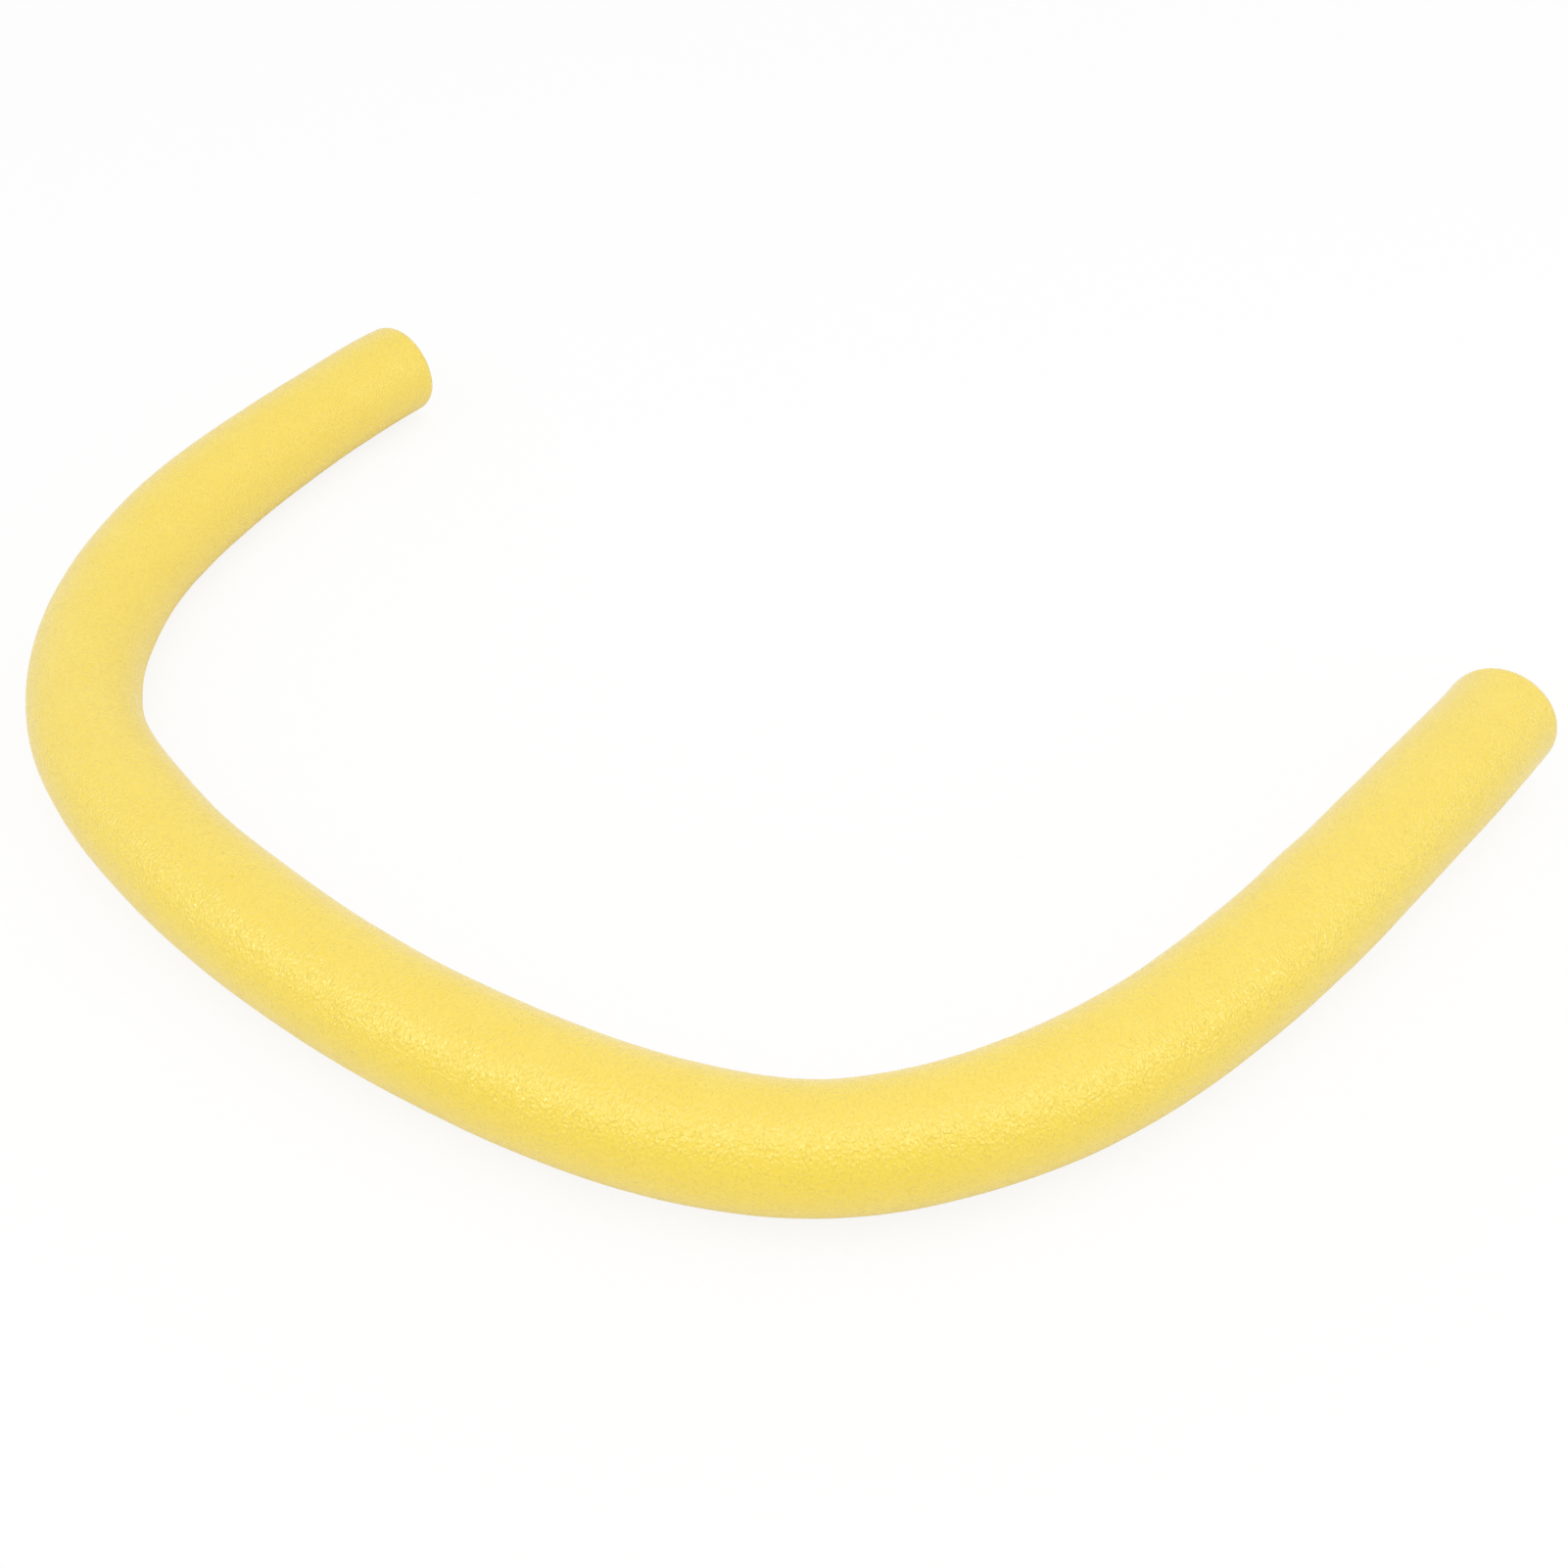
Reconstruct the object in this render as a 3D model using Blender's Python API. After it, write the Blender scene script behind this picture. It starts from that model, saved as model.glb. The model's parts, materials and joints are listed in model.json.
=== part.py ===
"""Pool noodle: one long rod of closed-cell foam, lying on a flat surface in the
open U that has set in it.

The real foam is one soft piece. Here it is cut across into equal lengths, so that
it can bend: at most cuts a round ball on one length turns in a cup in the next.
Most cuts bend sideways, some bend upwards, and the middle one twists.
Metres, +Z up. The origin is on the surface, under the middle of the plan.
"""

import math

import bmesh
import bpy
from mathutils import Matrix, Vector

# The whole noodle
NOODLE_LENGTH = 1.600
NOODLE_DIAMETER = 0.070
EDGE_ROUNDING = 0.003

# How it lies: an even curl all the way along, two bends that have set in it, and
# a slight turn outward near end B. A spread is how far along a bend reaches.
START_HEADING = math.radians(-129.6)
CURL_TURN = math.radians(92)
FIRST_BEND = {"turn": math.radians(48), "middle": 0.413, "spread": 0.112}
SECOND_BEND = {"turn": math.radians(49), "middle": 1.070, "spread": 0.097}
LAST_BEND = {"turn": math.radians(-8.5), "middle": 1.475, "spread": 0.060}

# How it is cut up, counted from end A, which lies on the left
LENGTH_COUNT = 20
MIDDLE_LENGTH = 10
LIFT_CUTS = (2, 8, 11, 17)
TWIST_CUT = 10

# How far a cut moves from the way it lies
MORE_BEND = math.radians(9)
BACK_BEND = math.radians(12)
LIFT = math.radians(25)

# Room at the cuts: between faces, round a ball, and the least edge that a cup has
CUT_GAP = 0.0003
CUP_CLEARANCE = 0.0001
CUP_LIP = 0.0006

# How finely the curved faces are divided
SIDES = 20
BALL_STEPS = 12
ROUNDING_STEPS = 3
SECTION_SHARES = (0, 1 / 4, 1 / 2)
TRACE_STEPS = 24
SMOOTH_UP_TO = math.radians(40)

# The foam
FOAM_COLOUR = (0.93, 0.70, 0.13, 1.0)
FOAM_ROUGHNESS = 0.55

RADIUS = NOODLE_DIAMETER / 2
PITCH = NOODLE_LENGTH / LENGTH_COUNT
HALF_FACET = math.pi / SIDES
CORNER_RADIUS = RADIUS / math.cos(HALF_FACET)
CUP_RADIUS = (RADIUS + CUP_CLEARANCE) / math.cos(math.pi / BALL_STEPS / 2)
CUP_CORNER_RADIUS = CUP_RADIUS / math.cos(HALF_FACET)
CUP_SETBACK = math.sqrt(CUP_RADIUS ** 2 - (RADIUS - CUP_LIP) ** 2)
MERGE_DISTANCE = CUP_CLEARANCE / 4
UP = Vector((0, 0, 1))


def heading(along):
    """The angle that the noodle runs at, a given distance along it from end A."""
    angle = START_HEADING + CURL_TURN * along / NOODLE_LENGTH
    for bend in (FIRST_BEND, SECOND_BEND, LAST_BEND):
        width = bend["spread"] * math.sqrt(2)
        from_start = math.erf(bend["middle"] / width)
        angle += bend["turn"] * (math.erf((along - bend["middle"]) / width) + from_start) / 2
    return angle


def direction(along):
    return Vector((math.cos(heading(along)), math.sin(heading(along)), 0))


def way_between(start, end):
    """The way from one place on the middle line to another, by Simpson's rule."""
    step = (end - start) / TRACE_STEPS
    way = Vector((0, 0, 0))
    for i in range(TRACE_STEPS):
        here = start + i * step
        way += (direction(here) + 4 * direction(here + step / 2) + direction(here + step)) * step / 6
    return way


class Section:
    """A place on the middle line, with the ways forward, left and up from it."""

    def __init__(self, along, middle):
        self.middle = middle
        self.forward = direction(along)
        self.left = UP.cross(self.forward)

    def ring(self, corner_radius=CORNER_RADIUS, forward=0.0):
        """The corners of the foam's section, which has a flat side left, right, above and below."""
        corners = []
        for i in range(SIDES):
            turn = (2 * i + 1) * HALF_FACET
            outward = self.left * math.cos(turn) + UP * math.sin(turn)
            corners.append(self.middle + self.forward * forward + outward * corner_radius)
        return corners


def lay_out():
    """The sections of each length, from its start to the next one's, in the part's frame."""
    stations = [PITCH * (i + share) for i in range(LENGTH_COUNT) for share in SECTION_SHARES]
    stations.append(NOODLE_LENGTH)
    sections = [Section(0, Vector((0, 0, RADIUS)))]
    for before, after in zip(stations, stations[1:]):
        sections.append(Section(after, sections[-1].middle + way_between(before, after)))
    count = len(SECTION_SHARES)
    lengths = [sections[i * count : (i + 1) * count + 1] for i in range(LENGTH_COUNT)]
    rings = [ring for i, length in enumerate(lengths) for ring in wall_rings(i + 1, length)]
    outline = [corner for ring in rings for corner in ring]
    low = Vector([min(corner[i] for corner in outline) for i in range(2)] + [0])
    high = Vector([max(corner[i] for corner in outline) for i in range(2)] + [0])
    for section in sections:
        section.middle = section.middle - (low + high) / 2
    return lengths


def kind_of_cut(number):
    """Cut 1 is between lengths 1 and 2. Cut 0 and the last one are the noodle's ends."""
    if number in (0, LENGTH_COUNT):
        return "end"
    if number == TWIST_CUT:
        return "twist"
    return "lift" if number in LIFT_CUTS else "bend"


def straightening_turn(number):
    """How far a sideways cut turns to bring the stiff stretches beside it into line."""
    stops = [n for n in range(LENGTH_COUNT + 1) if kind_of_cut(n) in ("end", "bend")]
    place = stops.index(number)
    middle_before = PITCH * (stops[place - 1] + number) / 2
    middle_after = PITCH * (number + stops[place + 1]) / 2
    return heading(middle_after) - heading(middle_before)


def closing_angles(number):
    """How far a cut closes on its left or upper side, and on the side across from that."""
    if kind_of_cut(number) == "lift":
        return LIFT, 0.0
    return MORE_BEND, straightening_turn(number) + BACK_BEND


def side_and_axis(section, kind):
    """The side that a cut closes on when it turns about the axis beside it."""
    if kind == "lift":
        return UP, -section.left
    return section.left, UP


def set_back_ring(before, section, number):
    """The corners where a wall stops short of its cut, which leaves room to close on each side."""
    side, _ = side_and_axis(section, kind_of_cut(number))
    near_angle, far_angle = closing_angles(number)
    corners = []
    for back, front in zip(before.ring(), section.ring()):
        offset = (front - section.middle).dot(side)
        sign = math.copysign(1, offset)
        slope = math.tan(near_angle if offset > 0 else far_angle)
        length = (front - back).dot(section.forward)
        drift = sign * (back - front).dot(side)
        share = (abs(offset) * slope + CUT_GAP) / (length - drift * slope)
        corners.append(front.lerp(back, max(share, CUP_SETBACK / length)))
    return corners


def rounded_rings(section, way):
    """Rings from the full section to the edge of a cut end; way is 1 at end B and -1 at end A."""
    rings = []
    for i in range(ROUNDING_STEPS + 1):
        turn = math.pi / 2 * i / ROUNDING_STEPS
        forward = way * EDGE_ROUNDING * (math.sin(turn) - 1)
        radius = RADIUS - EDGE_ROUNDING * (1 - math.cos(turn))
        rings.append(section.ring(radius / math.cos(HALF_FACET), forward))
    return rings


def wall_rings(number, sections):
    """The rings of corners along a length, from its start to its end."""
    rings = [section.ring() for section in sections]
    if kind_of_cut(number - 1) == "end":
        rings[:1] = reversed(rounded_rings(sections[0], -1))
    finish = kind_of_cut(number)
    if finish == "end":
        rings[-1:] = rounded_rings(sections[-1], 1)
    elif finish == "twist":
        rings[-1] = sections[-1].ring(forward=-CUT_GAP)
    else:
        rings[-1] = set_back_ring(sections[-2], sections[-1], number)
    return rings


def first_of_half(kind):
    """The ring's corner that a half of it starts at, so that the half lies on the cut's side."""
    return SIDES // 4 if kind == "lift" else 0


def close_in_strips(mesh, ring, kind):
    """Faces across the set-back end of a wall, each between corners that are as far to the side."""
    first = first_of_half(kind)
    for i in range(SIDES // 2 - 1):
        upper = first + i
        lower = first - 1 - i
        mesh.faces.new((ring[upper], ring[upper + 1], ring[lower - 1], ring[lower]))


def close_with_ball(mesh, ring, section, kind):
    """Half of the first ring, spun about the cut's axis to the other half, and its flats filled."""
    side, axis = side_and_axis(section, kind)
    half = [vertex for vertex in ring if (vertex.co - section.middle).dot(side) > 0]
    edges = [edge for edge in mesh.edges if edge.verts[0] in half and edge.verts[1] in half]
    bmesh.ops.spin(
        mesh, geom=half + edges, cent=section.middle, axis=axis, angle=math.pi, steps=BALL_STEPS
    )
    bmesh.ops.remove_doubles(mesh, verts=mesh.verts, dist=MERGE_DISTANCE)
    bmesh.ops.holes_fill(mesh, edges=[edge for edge in mesh.edges if edge.is_boundary])


def length_mesh(number, sections):
    """One length of foam, before its cup is cut."""
    mesh = bmesh.new()
    rings = [[mesh.verts.new(corner) for corner in ring] for ring in wall_rings(number, sections)]
    for ring, after in zip(rings, rings[1:]):
        for i in range(SIDES):
            mesh.faces.new((ring[i - 1], ring[i], after[i], after[i - 1]))
    start = kind_of_cut(number - 1)
    finish = kind_of_cut(number)
    if finish in ("end", "twist"):
        mesh.faces.new(rings[-1])
    else:
        close_in_strips(mesh, rings[-1], finish)
    if start in ("end", "twist"):
        mesh.faces.new(rings[0])
    else:
        close_with_ball(mesh, rings[0], sections[0], start)
    return mesh


def cup_mesh(section, kind):
    """The round hollow in a length's end: half of a larger ring, spun all the way."""
    mesh = bmesh.new()
    first = first_of_half(kind) - SIDES // 4
    corners = section.ring(CUP_CORNER_RADIUS)
    half = [mesh.verts.new(corners[first + i]) for i in range(SIDES // 2)]
    edges = [mesh.edges.new(pair) for pair in zip(half, half[1:])]
    _, axis = side_and_axis(section, kind)
    bmesh.ops.spin(
        mesh, geom=half + edges, cent=section.middle, axis=axis, angle=math.tau,
        steps=2 * BALL_STEPS, use_merge=True,
    )
    bmesh.ops.remove_doubles(mesh, verts=mesh.verts, dist=MERGE_DISTANCE)
    bmesh.ops.holes_fill(mesh, edges=[edge for edge in mesh.edges if edge.is_boundary])
    return mesh


def make_object(name, mesh, origin):
    """An object with its origin at a point of the part, from a mesh in the part's frame."""
    bmesh.ops.recalc_face_normals(mesh, faces=mesh.faces)
    bmesh.ops.transform(mesh, matrix=Matrix.Translation(-origin), verts=mesh.verts)
    data = bpy.data.meshes.new(name)
    mesh.to_mesh(data)
    mesh.free()
    made = bpy.data.objects.new(name, data)
    made.location = origin
    bpy.context.collection.objects.link(made)
    return made


def hang_on(child, parent):
    """Makes an object move with another. Its own location stays in the part's frame."""
    child.parent = parent
    child.matrix_parent_inverse = Matrix.Translation(-parent.location)


def foam_material(name):
    material = bpy.data.materials.new(name)
    material.use_nodes = True
    shader = material.node_tree.nodes["Principled BSDF"]
    shader.inputs["Base Color"].default_value = FOAM_COLOUR
    shader.inputs["Roughness"].default_value = FOAM_ROUGHNESS
    shader.inputs["Metallic"].default_value = 0.0
    material.diffuse_color = FOAM_COLOUR
    return material


def cut_cup(length, section, kind):
    """Hollows a length's end round the ball of the next one."""
    cutter = make_object(length.name + "_cup", cup_mesh(section, kind), section.middle)
    cutter.hide_render = True
    cutter.display_type = "WIRE"
    cut = length.modifiers.new("cup", "BOOLEAN")
    cut.operation = "DIFFERENCE"
    cut.solver = "EXACT"
    cut.object = cutter
    hang_on(cutter, length)


def build_length(number, sections):
    """One length, with its origin on the cut that it turns about."""
    name = f"foam_length_{number:02d}"
    turning_section = sections[-1] if number < MIDDLE_LENGTH else sections[0]
    length = make_object(name, length_mesh(number, sections), turning_section.middle)
    length.data.materials.append(foam_material(name))
    length.data.shade_smooth()
    length.data.set_sharp_from_angle(angle=SMOOTH_UP_TO)
    if kind_of_cut(number) in ("bend", "lift"):
        cut_cup(length, sections[-1], kind_of_cut(number))
    return length


def main():
    for old in list(bpy.data.objects):
        bpy.data.objects.remove(old)
    lengths = [build_length(i + 1, sections) for i, sections in enumerate(lay_out())]
    for before, after in zip(lengths[:MIDDLE_LENGTH], lengths[1:MIDDLE_LENGTH]):
        hang_on(before, after)
    for before, after in zip(lengths[MIDDLE_LENGTH - 1 :], lengths[MIDDLE_LENGTH:]):
        hang_on(after, before)


main()
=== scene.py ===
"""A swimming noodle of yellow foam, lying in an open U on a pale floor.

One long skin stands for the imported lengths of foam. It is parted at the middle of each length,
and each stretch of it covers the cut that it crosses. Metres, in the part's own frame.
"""

import json
import math

import bpy
import numpy as np
from mathutils import Euler, Matrix, Vector, noise

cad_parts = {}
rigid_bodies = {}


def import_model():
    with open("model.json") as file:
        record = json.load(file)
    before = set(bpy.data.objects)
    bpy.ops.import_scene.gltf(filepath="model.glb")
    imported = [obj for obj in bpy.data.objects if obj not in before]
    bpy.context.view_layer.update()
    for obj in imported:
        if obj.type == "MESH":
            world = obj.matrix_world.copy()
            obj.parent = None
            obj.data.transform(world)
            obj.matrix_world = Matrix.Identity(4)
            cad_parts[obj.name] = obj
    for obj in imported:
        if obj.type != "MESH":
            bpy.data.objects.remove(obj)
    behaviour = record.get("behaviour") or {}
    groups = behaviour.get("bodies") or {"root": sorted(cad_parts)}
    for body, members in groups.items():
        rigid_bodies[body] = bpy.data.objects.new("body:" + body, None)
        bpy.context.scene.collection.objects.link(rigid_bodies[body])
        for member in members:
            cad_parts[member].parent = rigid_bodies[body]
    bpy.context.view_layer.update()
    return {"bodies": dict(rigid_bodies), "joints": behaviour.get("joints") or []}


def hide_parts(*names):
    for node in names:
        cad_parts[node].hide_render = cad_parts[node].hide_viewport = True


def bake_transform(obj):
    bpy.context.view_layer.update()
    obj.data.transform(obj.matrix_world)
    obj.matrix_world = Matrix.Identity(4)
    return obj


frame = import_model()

# The noodle, as it is built
NOODLE_LENGTH = 1.600
NOODLE_RADIUS = 0.035
ROUNDING_LENGTH = 0.007
ROUNDING_DEPTH = 0.004

# How it lies: an even curl all the way along, with bends on it (turn, place along, spread)
START_HEADING = math.radians(-129.6)
CURL_TURN = math.radians(92)
BENDS = (
    (math.radians(48), 0.413, 0.112),
    (math.radians(49), 1.070, 0.097),
    (math.radians(-8.5), 1.475, 0.060),
)

# Angles round the noodle, looking along it from end A: from the left, its inner side, over the top
INNER_SIDE = math.radians(0)
TOP = math.radians(90)
OUTER_SIDE = math.radians(180)

# How finely the skin is divided
LENGTH_COUNT = len(frame["bodies"])
PITCH = NOODLE_LENGTH / LENGTH_COUNT
RINGS_PER_LENGTH = 50
RING_STEP = PITCH / RINGS_PER_LENGTH
SIDES = 96
EDGE_RINGS = 6
FACE_RINGS = 10
RINGS_CLEAR_OF_ROUNDING = 2
TURNS = (np.arange(SIDES) + 0.5) * math.tau / SIDES
SHARP_ANGLE = math.radians(60)

# Kinks and swells that the bends have left: place along, angle round, how far out, reach along
SWELLS = (
    (0.000, TOP, -0.0010, 0.012),
    (0.020, math.radians(-50), -0.0022, 0.080),
    (0.095, math.radians(126), -0.0010, 0.035),
    (0.235, math.radians(131), 0.0010, 0.035),
    (0.362, math.radians(-30), 0.0014, 0.036),
    (0.385, math.radians(152), -0.0009, 0.050),
    (0.480, math.radians(2), -0.0018, 0.026),
    (0.495, OUTER_SIDE, 0.0009, 0.025),
    (0.575, math.radians(19), 0.0012, 0.030),
    (0.680, math.radians(28), 0.0013, 0.040),
    (0.745, math.radians(206), 0.0015, 0.085),
    (0.900, math.radians(36), 0.0005, 0.040),
    (1.045, math.radians(40), -0.0021, 0.032),
    (1.130, math.radians(214), -0.0016, 0.042),
    (1.160, math.radians(36), 0.0006, 0.030),
    (1.250, math.radians(31), -0.0006, 0.025),
    (1.385, math.radians(25), 0.0008, 0.014),
    (1.600, math.radians(22), -0.0010, 0.035),
)
# Room for the swells where a stretch of skin ends
SWELL_ROOM = 0.002

# Fine creases across the inner side of the bends. The tightest bend is in radians for each metre.
CREASE_HEIGHT = 0.00016
CREASE_SPACING = 0.0085
CREASE_WANDER = 3
CREASE_WANDER_SPACING = 3 * CREASE_SPACING
TIGHTEST_BEND = 6.5

# The skin's slow unevenness, and that of the sawn faces
UNEVEN_HEIGHT = 0.00022
UNEVEN_SPACING = 0.045
SAWN_UNEVEN_HEIGHT = 0.0004
SAWN_UNEVEN_SPACING = 0.016

# The noise behind these: how fast its layers fade, how much finer each one is, and their number
NOISE_FALLOFF = 0.9
NOISE_FINENESS = 2.0
NOISE_LAYERS = 3

# Small dents in the skin, with painted shade in each: place along, angle round, and the radius of each
DENTS = (
    (0.651, math.radians(74), 0.0017),
    (0.671, math.radians(82), 0.0014),
    (0.690, math.radians(95), 0.0018),
)

# A soft stripe along the outer side, painted deeper in colour as painted shade, where the grain also
# stands out more
STRIPE_SIDE = math.radians(146)
STRIPE_REACH = 0.026
SIDE_SHADE_MIX = 0.6
STRIPE_EXTRA_GRAIN = 0.25

# Foam colours, as linear red, green and blue
SKIN_YELLOW = (0.960, 0.737, 0.109, 1)
# Deep yellow: the foam's own deeper tone in the slow patches, and painted shade in the grain's hollows
# and in the dents
DEEP_TONE_AND_SHADE_YELLOW = (0.870, 0.610, 0.015, 1)
# Pale yellow on the grain's crests: a paler grain tone and a painted glint
PALE_GRAIN_AND_GLINT_YELLOW = (0.990, 0.850, 0.330, 1)
# Painted shade along the outer side
SHADED_SIDE_YELLOW = (0.980, 0.738, 0.050, 1)
SAWN_YELLOW = (0.940, 0.740, 0.170, 1)
CELL_YELLOW = (0.800, 0.560, 0.070, 1)

# The skin: its grain and slow patches in metres, and its gloss. A pair is a factor and an offset.
SKIN_GRAIN_SPACING = 0.0013
SKIN_GRAIN_STRETCH = 1.4
SKIN_GRAIN_DEPTH = 0.00070
SKIN_PATCH_SPACING = 0.030
DEEP_IN_PATCHES = (0.08, 0.08)
# The grain's hollows deeper and its crests paler: the foam's grain tone, with painted shade in the
# hollows and painted glints on the crests
TONE_AND_SHADE_IN_HOLLOWS = (-0.08, 0.05)
TONE_AND_GLINT_ON_CRESTS = (0.08, 0.0)
SKIN_ROUGHNESS = (0.02, 0.25)
SKIN_IOR = 1.45
SHEEN_WEIGHT = 0.30
SHEEN_ROUGHNESS = 0.45
# Painted shade in the dents
SHADE_IN_DENTS = 0.8
DENT_HEIGHT = -0.3

# The sawn ends, in the same way
SAWN_GRAIN_SPACING = 0.0016
SAWN_GRAIN_STRETCH = 1.0
SAWN_GRAIN_DEPTH = 0.0014
SAWN_PATCH_SPACING = 0.012
SKIN_IN_PATCHES = (0.12, 0.15)
OPEN_CELLS = (-0.5, 0.5)
SAWN_ROUGHNESS = (0.03, 0.70)
SAWN_IOR = 1.49

# The span of a noise texture's values that the grain's crests, and the patches, are read from
CREST_RANGE = (0.40, 0.62)
PATCH_RANGE = (0.3, 0.7)

# The studio: floor, surroundings, and lamps as name, place, point turned to, size and watts
WHITE = (1, 1, 1, 1)
FLOOR_HALF_WIDTH = 4.0
FLOOR_COLOUR = (0.95, 0.95, 0.95, 1)
FLOOR_ROUGHNESS = 0.9
FLOOR_WHITE_SHARE = 0.86
SURROUNDING_LIGHT = 0.81
OVERHEAD_LAMP = ("overhead_softbox", (0.1, -0.45, 2.0), (0.0, -0.25, 0), (4.5, 1.8), 16.5)
HIGHLIGHT_LAMPS = (
    ("front_strip", (0.3, -2.0, 3.2), (0.1, -0.35, 0), (5.0, 0.5), 70),
    ("left_softbox", (-2.8, -1.1, 1.9), (-0.35, -0.2, 0), (1.0, 1.0), 38),
    ("right_softbox", (3.0, -1.4, 1.7), (0.3, -0.25, 0), (1.0, 1.0), 34),
)

# The camera, fitted to the outline in the photograph of 1601 by 1601 pixels
PHOTO_WIDTH = 1601
FOCAL_PIXELS = 2087.1
SENSOR_WIDTH = 36
CAMERA_PLACE = Vector((0.0065, -1.0113, 0.8346))
CAMERA_DIP = math.radians(41.42)
CAMERA_ROLL = math.radians(-0.928)


def heading(along):
    """The angle that the noodle runs at, a given distance along it from end A."""
    angle = START_HEADING + CURL_TURN * along / NOODLE_LENGTH
    for turn, place, spread in BENDS:
        width = spread * math.sqrt(2)
        angle += turn * (math.erf((along - place) / width) + math.erf(place / width)) / 2
    return angle


def direction(along):
    """The way that the noodle runs at a place along it, as a unit vector."""
    return np.array((math.cos(heading(along)), math.sin(heading(along)), 0))


def trace_middle_line():
    """Points of the middle line at every ring step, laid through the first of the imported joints."""
    steps = LENGTH_COUNT * RINGS_PER_LENGTH
    line = np.zeros((steps + 1, 3))
    for i in range(steps):
        here = i * RING_STEP
        ahead = direction(here) + 4 * direction(here + RING_STEP / 2) + direction(here + RING_STEP)
        line[i + 1] = line[i] + ahead * RING_STEP / 6
    first_joint = next(j for j in frame["joints"] if "length_01" in (j["parent"], j["child"]))
    return line + np.array(first_joint["pos_m"]) - line[RINGS_PER_LENGTH]


MIDDLE_LINE = trace_middle_line()


def middle(along):
    """The middle line's point at each of several places along it."""
    places = np.arange(len(MIDDLE_LINE)) * RING_STEP
    return np.stack([np.interp(along, places, MIDDLE_LINE[:, i]) for i in range(3)], -1)


def crease_strength(along):
    """How strong the creases are at each place: 0 where it runs straight, 1 where it bends most."""
    nearby = RING_STEP / 2
    bend = [(heading(a + nearby) - heading(a - nearby)) / RING_STEP for a in along]
    return np.clip(np.array(bend) / TIGHTEST_BEND, 0, 1) ** 2


def smooth_noise(points, spacing):
    """Layered noise from about -1 to 1, whose slowest layer changes over the given spacing."""
    flat = points.reshape(-1, 3) / spacing
    settings = (NOISE_FALLOFF, NOISE_FINENESS, NOISE_LAYERS)
    values = [noise.fractal(Vector(point), *settings) for point in flat]
    return np.array(values).reshape(points.shape[:-1])


def places_on_straight_noodle(along, inset):
    """Where each point would be if the noodle were straight, as (across, up, along)."""
    radius = NOODLE_RADIUS - inset[:, None]
    across = radius * np.cos(TURNS)
    up = radius * np.sin(TURNS)
    return np.stack([across, up, np.broadcast_to(along[:, None], across.shape)], -1)


def skin_relief(along, straight):
    """How far each point of the skin stands out from the plain round noodle."""
    relief = UNEVEN_HEIGHT * smooth_noise(straight, UNEVEN_SPACING)
    for place, side, out, reach in SWELLS:
        fade_along = np.exp(-((along - place) / reach) ** 2 / 2)
        fade_round = ((1 + np.cos(TURNS - side)) / 2) ** 2
        relief += out * fade_along[:, None] * fade_round
    wander = CREASE_WANDER * smooth_noise(straight, CREASE_WANDER_SPACING)
    crease = np.sin(math.tau * along[:, None] / CREASE_SPACING + wander)
    inner = np.clip(np.cos(TURNS - INNER_SIDE), 0, 1) ** 2
    return relief + CREASE_HEIGHT * crease * inner * crease_strength(along)[:, None]


def skin_points(along, inset):
    """Points of the skin, a ring for each place along and inset, and the same on a straight noodle."""
    straight = places_on_straight_noodle(along, inset)
    share = 1 - inset[:, None] / NOODLE_RADIUS
    radius = NOODLE_RADIUS - inset[:, None] + skin_relief(along, straight) * share
    angle = np.array([heading(a) for a in along])
    left = np.stack([-np.sin(angle), np.cos(angle), 0 * angle], -1)[:, None, :]
    forward = np.stack([np.cos(angle), np.sin(angle), 0 * angle], -1)[:, None, :]
    up = np.array((0, 0, 1))
    outward = left * np.cos(TURNS)[:, None] + up * np.sin(TURNS)[:, None]
    points = middle(along)[:, None, :] + outward * radius[..., None]
    on_face = np.clip(inset / ROUNDING_DEPTH - 1, 0, 1)[:, None]
    wave = SAWN_UNEVEN_HEIGHT * on_face * smooth_noise(straight, SAWN_UNEVEN_SPACING)
    points = points + forward * wave[..., None]
    # No swell goes below the floor
    points[..., 2] = np.maximum(points[..., 2], 0)
    return points, straight


def end_rings():
    """Rings from the middle of a sawn end to where the skin is full: distance in, and inset."""
    face = np.linspace(NOODLE_RADIUS, ROUNDING_DEPTH, FACE_RINGS + 1)[1:-1]
    turn = np.linspace(0, math.pi / 2, EDGE_RINGS + 1)
    along = np.concatenate([0 * face, ROUNDING_LENGTH * (1 - np.cos(turn))])
    inset = np.concatenate([face, ROUNDING_DEPTH * (1 - np.sin(turn))])
    return along, inset


def rings_of_stretch(number):
    """The rings of the skin over one cut, from the middle of one length to that of the next."""
    first = RINGS_PER_LENGTH * number - RINGS_PER_LENGTH // 2
    last = first + RINGS_PER_LENGTH
    end_along, end_inset = end_rings()
    clear = math.floor(ROUNDING_LENGTH / RING_STEP) + RINGS_CLEAR_OF_ROUNDING
    if number == 1:
        first = clear
    if number == LENGTH_COUNT - 1:
        last = LENGTH_COUNT * RINGS_PER_LENGTH - clear
    along = np.arange(first, last + 1) * RING_STEP
    inset = 0 * along
    if number == 1:
        along = np.concatenate([end_along, along])
        inset = np.concatenate([end_inset, inset])
    if number == LENGTH_COUNT - 1:
        along = np.concatenate([along, NOODLE_LENGTH - end_along[::-1]])
        inset = np.concatenate([inset, end_inset[::-1]])
    return along, inset


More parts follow.
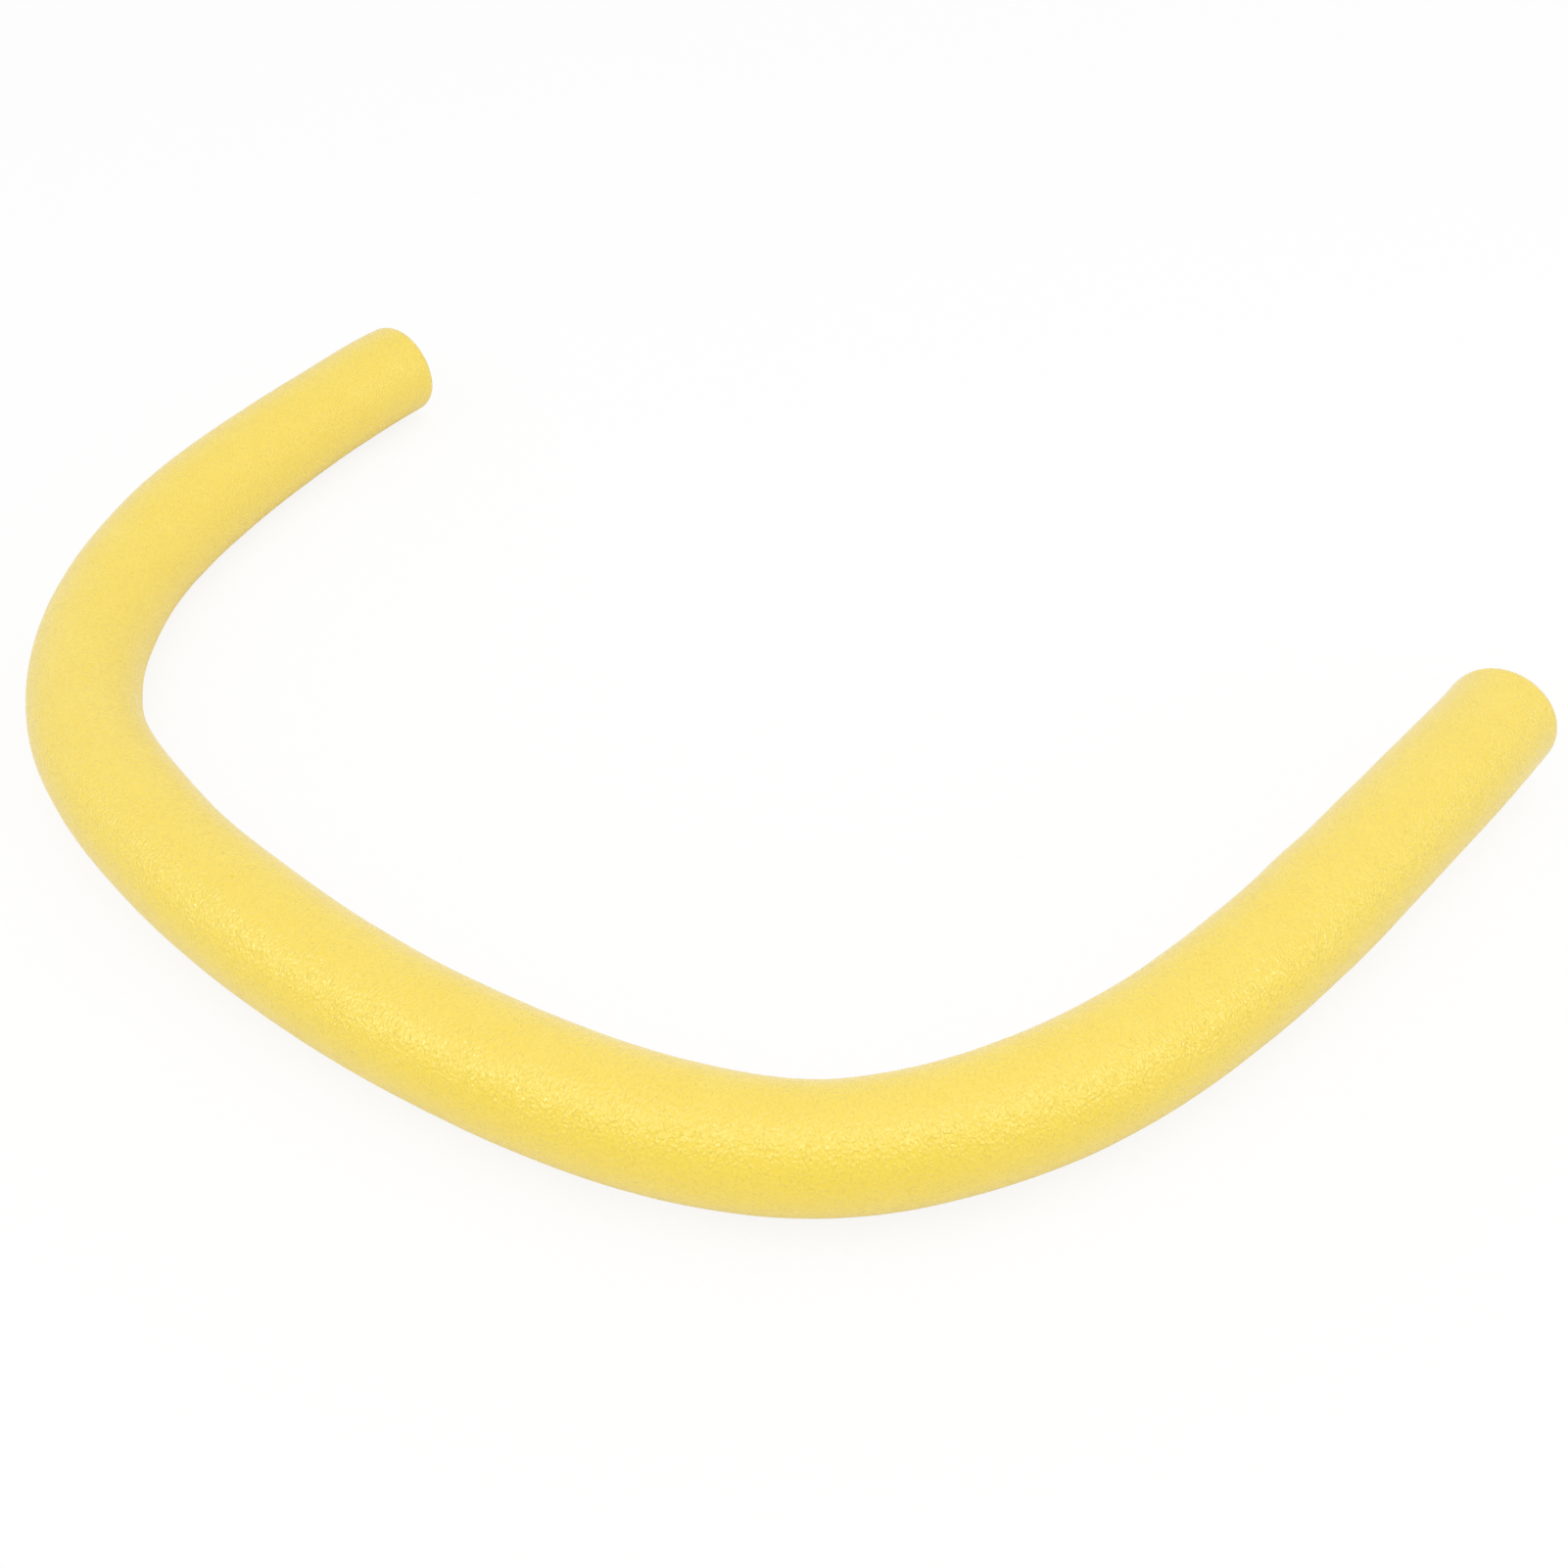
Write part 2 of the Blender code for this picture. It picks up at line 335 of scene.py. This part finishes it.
def closed_tube_faces(ring_count):
    """Quads between the rings, and a fan at each end to a point that comes after the rings.

    The two fans' faces come by turns, the start's first.
    """
    faces = []
    for ring in range(ring_count - 1):
        low = ring * SIDES
        for i in range(SIDES):
            after = (i + 1) % SIDES
            faces.append((low + i, low + after, low + SIDES + after, low + SIDES + i))
    start_point = ring_count * SIDES
    last_ring = start_point - SIDES
    for i in range(SIDES):
        after = (i + 1) % SIDES
        faces.append((after, i, start_point))
        faces.append((last_ring + i, last_ring + after, start_point + 1))
    return faces


def bending_way(number):
    """From where to where a stretch would bend, so that both of its end rings stay flat and stiff."""
    ends = [(number + side) * PITCH for side in (-0.5, 0.5)]
    start, end = [Vector(middle(along)) for along in ends]
    chord = (end - start).normalized()
    room = [(NOODLE_RADIUS + SWELL_ROOM) * chord.cross(Vector(direction(a))).length for a in ends]
    return start + chord * room[0], end - chord * room[1]


def with_tips(rings):
    """All points of the rings, and after them the middle points of the first and the last ring."""
    return np.vstack([rings.reshape(-1, 3), rings[0].mean(0), rings[-1].mean(0)])


def mark_sawn_faces(mesh, number, ring_count):
    """Gives the faces of a sawn end the second material."""
    face_bands = FACE_RINGS - 1 + EDGE_RINGS // 2
    sawn = np.zeros(len(mesh.polygons), np.int32)
    fans = (ring_count - 1) * SIDES
    if number == 1:
        sawn[: face_bands * SIDES] = 1
        sawn[fans::2] = 1
    if number == LENGTH_COUNT - 1:
        sawn[fans - face_bands * SIDES : fans] = 1
        sawn[fans + 1 :: 2] = 1
    mesh.polygons.foreach_set("material_index", sawn)


def stretch_mesh(number, materials):
    """The closed mesh of the skin over one cut, with each point's place on a straight noodle."""
    along, inset = rings_of_stretch(number)
    points, straight = skin_points(along, inset)
    mesh = bpy.data.meshes.new(f"foam_skin_{number:02d}")
    mesh.from_pydata(with_tips(points), [], closed_tube_faces(len(along)))
    place = mesh.attributes.new("foam_place", "FLOAT_VECTOR", "POINT")
    place.data.foreach_set("vector", with_tips(straight).ravel())
    for material in materials:
        mesh.materials.append(material)
    mark_sawn_faces(mesh, number, len(along))
    mesh.shade_smooth()
    mesh.set_sharp_from_angle(angle=SHARP_ANGLE)
    return mesh


def build_stretch(number, materials):
    """The skin over one cut, as a piece from the middle of one length to that of the next."""
    mesh = stretch_mesh(number, materials)
    piece = bpy.data.objects.new(mesh.name, mesh)
    bpy.context.scene.collection.objects.link(piece)
    nodes = [f"foam_length_{number:02d}"]
    if number == LENGTH_COUNT - 1:
        nodes.append(f"foam_length_{LENGTH_COUNT:02d}")
    start, end = bending_way(number)
    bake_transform(piece)
    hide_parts(*nodes)


def add_node(tree, kind, inputs, **settings):
    """A shader node with its settings, and its inputs as values or as sockets to link from."""
    made = tree.nodes.new(kind)
    for name, value in settings.items():
        setattr(made, name, value)
    for key, value in inputs.items():
        if isinstance(value, bpy.types.NodeSocket):
            tree.links.new(value, made.inputs[key])
        else:
            made.inputs[key].default_value = value
    return made


def add_group(tree, group, inputs):
    """A node that stands for a node group."""
    return add_node(tree, "ShaderNodeGroup", inputs, node_tree=group)


def calculate(tree, operation, *values):
    """The result of a Math node."""
    return add_node(tree, "ShaderNodeMath", dict(enumerate(values)), operation=operation).outputs[0]


def scaled(tree, value, factor, offset=0.0):
    """A value times a factor, plus an offset."""
    return calculate(tree, "MULTIPLY_ADD", value, factor, offset)


def noise_texture(tree, place, scale, detail, roughness, distortion=0.0):
    """A noise texture's value, which lies round 0.5."""
    inputs = {
        "Vector": place,
        "Scale": scale,
        "Detail": detail,
        "Roughness": roughness,
        "Distortion": distortion,
    }
    return add_node(tree, "ShaderNodeTexNoise", inputs).outputs[0]


def map_range(tree, value, low, high, to_low=0.0, to_high=1.0, **settings):
    """A value moved from one range to another, and held inside it."""
    inputs = {
        "Value": value,
        "From Min": low,
        "From Max": high,
        "To Min": to_low,
        "To Max": to_high,
    }
    return add_node(tree, "ShaderNodeMapRange", inputs, **settings).outputs[0]


def mix_colour(tree, factor, first, second):
    """The colour that goes from the first to the second as the factor goes from 0 to 1."""
    # A Mix node's colours are its inputs 6 and 7 and its output 2
    inputs = {0: factor, 6: first, 7: second}
    return add_node(tree, "ShaderNodeMix", inputs, data_type="RGBA").outputs[2]


def new_group(name, inputs, outputs):
    """A shader node group with named sockets, and its two ends."""
    tree = bpy.data.node_groups.new(name, "ShaderNodeTree")
    for socket, kind in inputs.items():
        tree.interface.new_socket(socket, in_out="INPUT", socket_type=kind)
    for socket in outputs:
        tree.interface.new_socket(socket, in_out="OUTPUT", socket_type="NodeSocketFloat")
    start = tree.nodes.new("NodeGroupInput")
    end = tree.nodes.new("NodeGroupOutput")
    return tree, start.outputs, end.inputs


def foam_grain_group():
    """The foam's fine grain: short wavy ridges that run across the noodle."""
    inputs = {
        "Place": "NodeSocketVector",
        "Spacing": "NodeSocketFloat",
        "Stretch": "NodeSocketFloat",
    }
    tree, start, end = new_group("Foam grain", inputs, ("Height", "Crest"))
    per_ridge = calculate(tree, "DIVIDE", 1.0, start["Spacing"])
    squeeze = calculate(tree, "DIVIDE", 1.0, start["Stretch"])
    axes = {"X": squeeze, "Y": squeeze, "Z": 1.0}
    squeezed = add_node(tree, "ShaderNodeCombineXYZ", axes).outputs[0]
    factors = {0: start["Place"], 1: squeezed}
    drawn_out = add_node(tree, "ShaderNodeVectorMath", factors, operation="MULTIPLY").outputs[0]
    ridges = noise_texture(tree, drawn_out, per_ridge, detail=0.0, roughness=0.5, distortion=0.5)
    tree.links.new(ridges, end["Height"])
    tree.links.new(map_range(tree, ridges, *CREST_RANGE), end["Crest"])
    return tree


def patch_group():
    """Slow changes over the foam, from -1 to 1."""
    inputs = {"Place": "NodeSocketVector", "Spacing": "NodeSocketFloat"}
    tree, start, end = new_group("Foam patches", inputs, ("Patch",))
    per_patch = calculate(tree, "DIVIDE", 1.0, start["Spacing"])
    patches = noise_texture(tree, start["Place"], per_patch, detail=3.0, roughness=0.6)
    tree.links.new(map_range(tree, patches, *PATCH_RANGE, -1.0, 1.0), end["Patch"])
    return tree


def spot_group():
    """A soft round spot at a place on the foam, 1 at its middle and 0 outside its radius."""
    inputs = {
        "Place": "NodeSocketVector",
        "Middle": "NodeSocketVector",
        "Radius": "NodeSocketFloat",
    }
    tree, start, end = new_group("Soft spot", inputs, ("Spot",))
    points = {0: start["Place"], 1: start["Middle"]}
    gap = add_node(tree, "ShaderNodeVectorMath", points, operation="DISTANCE").outputs["Value"]
    radius = start["Radius"]
    spot = map_range(tree, gap, 0.0, radius, 1.0, 0.0, interpolation_type="SMOOTHSTEP")
    tree.links.new(spot, end["Spot"])
    return tree


def new_material(name):
    """A material with its node tree, its shader, and each point's place on a straight noodle."""
    material = bpy.data.materials.new(name)
    material.use_nodes = True
    tree = material.node_tree
    place = add_node(tree, "ShaderNodeAttribute", {}, attribute_name="foam_place")
    return material, tree, tree.nodes["Principled BSDF"], place.outputs["Vector"]


def add_grain(tree, grain, place, spacing, stretch):
    """The grain group's outputs, for one spacing and stretch of its ridges."""
    inputs = {"Place": place, "Spacing": spacing, "Stretch": stretch}
    return add_group(tree, grain, inputs).outputs


def add_patches(tree, patches, place, spacing):
    """The patch group's value, for one spacing of the patches."""
    return add_group(tree, patches, {"Place": place, "Spacing": spacing}).outputs["Patch"]


def add_spot(tree, spot, place, middle_point, radius):
    """The spot group's value, for one middle and radius."""
    inputs = {"Place": place, "Middle": middle_point, "Radius": radius}
    return add_group(tree, spot, inputs).outputs["Spot"]


def place_on_skin(side, along):
    """A point on the skin of the straight noodle, as (across, up, along)."""
    return (NOODLE_RADIUS * math.cos(side), NOODLE_RADIUS * math.sin(side), along)


def add_stripe(tree, spot, place):
    """The stripe's value: a spot in the noodle's section, the same all the way along."""
    factors = {0: place, 1: (1, 1, 0)}
    section = add_node(tree, "ShaderNodeVectorMath", factors, operation="MULTIPLY").outputs[0]
    return add_spot(tree, spot, section, place_on_skin(STRIPE_SIDE, 0), STRIPE_REACH)


def bumped(tree, height, depth):
    """The normal of a surface with a relief of the given depth."""
    relief = {"Strength": 1.0, "Distance": depth, "Height": height}
    return add_node(tree, "ShaderNodeBump", relief).outputs[0]


def skin_material(grain, patches, spot):
    """The noodle's outside: satin yellow skin, with painted shade along a stripe, pale crests with
    painted glints, and dents with painted shade.
    """
    material, tree, shader, place = new_material("foam_skin")
    fine = add_grain(tree, grain, place, SKIN_GRAIN_SPACING, SKIN_GRAIN_STRETCH)
    patch = add_patches(tree, patches, place, SKIN_PATCH_SPACING)
    stripe = add_stripe(tree, spot, place)
    crest = fine["Crest"]
    colour = mix_colour(tree, scaled(tree, patch, *DEEP_IN_PATCHES), SKIN_YELLOW, DEEP_TONE_AND_SHADE_YELLOW)
    # Deeper in the grain's hollows: grain tone and painted shade
    colour = mix_colour(tree, scaled(tree, crest, *TONE_AND_SHADE_IN_HOLLOWS), colour, DEEP_TONE_AND_SHADE_YELLOW)
    # Painted shade along the outer side
    colour = mix_colour(tree, scaled(tree, stripe, SIDE_SHADE_MIX), colour, SHADED_SIDE_YELLOW)
    # Paler on the grain's crests: grain tone and painted glints
    colour = mix_colour(tree, scaled(tree, crest, *TONE_AND_GLINT_ON_CRESTS), colour, PALE_GRAIN_AND_GLINT_YELLOW)
    grain_strength = scaled(tree, stripe, STRIPE_EXTRA_GRAIN, 1.0)
    height = calculate(tree, "MULTIPLY", fine["Height"], grain_strength)
    for along, side, radius in DENTS:
        dent = add_spot(tree, spot, place, place_on_skin(side, along), radius)
        # Painted shade in the dent
        colour = mix_colour(tree, scaled(tree, dent, SHADE_IN_DENTS), colour, DEEP_TONE_AND_SHADE_YELLOW)
        height = scaled(tree, dent, DENT_HEIGHT, height)
    tree.links.new(colour, shader.inputs["Base Color"])
    tree.links.new(scaled(tree, patch, *SKIN_ROUGHNESS), shader.inputs["Roughness"])
    tree.links.new(bumped(tree, height, SKIN_GRAIN_DEPTH), shader.inputs["Normal"])
    shader.inputs["IOR"].default_value = SKIN_IOR
    shader.inputs["Sheen Weight"].default_value = SHEEN_WEIGHT
    shader.inputs["Sheen Roughness"].default_value = SHEEN_ROUGHNESS
    return material


def sawn_material(grain, patches):
    """The sawn ends: paler and duller, with the foam's cells laid open."""
    material, tree, shader, place = new_material("foam_sawn")
    cells = add_grain(tree, grain, place, SAWN_GRAIN_SPACING, SAWN_GRAIN_STRETCH)
    patch = add_patches(tree, patches, place, SAWN_PATCH_SPACING)
    colour = mix_colour(tree, scaled(tree, patch, *SKIN_IN_PATCHES), SAWN_YELLOW, SKIN_YELLOW)
    colour = mix_colour(tree, scaled(tree, cells["Crest"], *OPEN_CELLS), colour, CELL_YELLOW)
    tree.links.new(colour, shader.inputs["Base Color"])
    tree.links.new(scaled(tree, patch, *SAWN_ROUGHNESS), shader.inputs["Roughness"])
    tree.links.new(bumped(tree, cells["Height"], SAWN_GRAIN_DEPTH), shader.inputs["Normal"])
    shader.inputs["IOR"].default_value = SAWN_IOR
    return material


def build_floor():
    """A pale floor that keeps the noodle's shadow, softened where the camera sees it."""
    half = FLOOR_HALF_WIDTH
    mesh = bpy.data.meshes.new("floor")
    corners = [(-half, -half, 0), (half, -half, 0), (half, half, 0), (-half, half, 0)]
    mesh.from_pydata(corners, [], [(0, 1, 2, 3)])
    floor = bpy.data.objects.new("floor", mesh)
    bpy.context.scene.collection.objects.link(floor)
    material = bpy.data.materials.new("pale_floor")
    material.use_nodes = True
    tree = material.node_tree
    shader = tree.nodes["Principled BSDF"]
    shader.inputs["Base Color"].default_value = FLOOR_COLOUR
    shader.inputs["Roughness"].default_value = FLOOR_ROUGHNESS
    white = add_node(tree, "ShaderNodeEmission", {"Color": WHITE, "Strength": 1.0})
    ray = add_node(tree, "ShaderNodeLightPath", {})
    share = scaled(tree, ray.outputs["Is Camera Ray"], FLOOR_WHITE_SHARE)
    surfaces = {0: share, 1: shader.outputs[0], 2: white.outputs[0]}
    mixed = add_node(tree, "ShaderNodeMixShader", surfaces)
    tree.links.new(mixed.outputs[0], tree.nodes["Material Output"].inputs["Surface"])
    mesh.materials.append(material)


def build_world():
    """White all round for the camera and for reflections, and a gentler light on the noodle."""
    world = bpy.data.worlds.new("studio")
    world.use_nodes = True
    tree = world.node_tree
    ray = add_node(tree, "ShaderNodeLightPath", {}).outputs
    mirrored = calculate(tree, "MAXIMUM", ray["Is Glossy Ray"], ray["Is Transmission Ray"])
    seen = calculate(tree, "MAXIMUM", ray["Is Camera Ray"], mirrored)
    strength = scaled(tree, seen, 1 - SURROUNDING_LIGHT, SURROUNDING_LIGHT)
    tree.links.new(strength, tree.nodes["Background"].inputs["Strength"])
    tree.nodes["Background"].inputs["Color"].default_value = WHITE
    bpy.context.scene.world = world


def build_softbox(name, place, aim, size, power):
    """A soft rectangular lamp at a place, turned to a point."""
    data = bpy.data.lights.new(name, "AREA")
    data.shape = "RECTANGLE"
    data.size, data.size_y = size
    data.energy = power
    lamp = bpy.data.objects.new(name, data)
    lamp.location = place
    lamp.rotation_euler = (Vector(aim) - Vector(place)).to_track_quat("-Z", "Y").to_euler()
    bpy.context.scene.collection.objects.link(lamp)
    return lamp


def build_lamps():
    """A large lamp above, and three round the front that add only the long highlight."""
    build_softbox(*OVERHEAD_LAMP)
    for settings in HIGHLIGHT_LAMPS:
        lamp = build_softbox(*settings)
        lamp.visible_diffuse = False


def build_camera():
    """The camera at the photograph's viewing angle."""
    data = bpy.data.cameras.new("camera")
    data.sensor_width = SENSOR_WIDTH
    data.lens = SENSOR_WIDTH * FOCAL_PIXELS / PHOTO_WIDTH
    camera = bpy.data.objects.new("camera", data)
    dip = Euler((math.pi / 2 - CAMERA_DIP, 0, 0)).to_matrix().to_4x4()
    roll = Matrix.Rotation(CAMERA_ROLL, 4, "Z")
    camera.matrix_world = Matrix.Translation(CAMERA_PLACE) @ dip @ roll
    bpy.context.scene.collection.objects.link(camera)
    bpy.context.scene.camera = camera


def build_noodle():
    """The whole noodle, a stretch of skin for each cut."""
    grain = foam_grain_group()
    patches = patch_group()
    materials = (skin_material(grain, patches, spot_group()), sawn_material(grain, patches))
    for number in range(1, LENGTH_COUNT):
        build_stretch(number, materials)


build_noodle()
build_floor()
build_world()
build_lamps()
build_camera()
bpy.context.scene.view_settings.view_transform = "Standard"
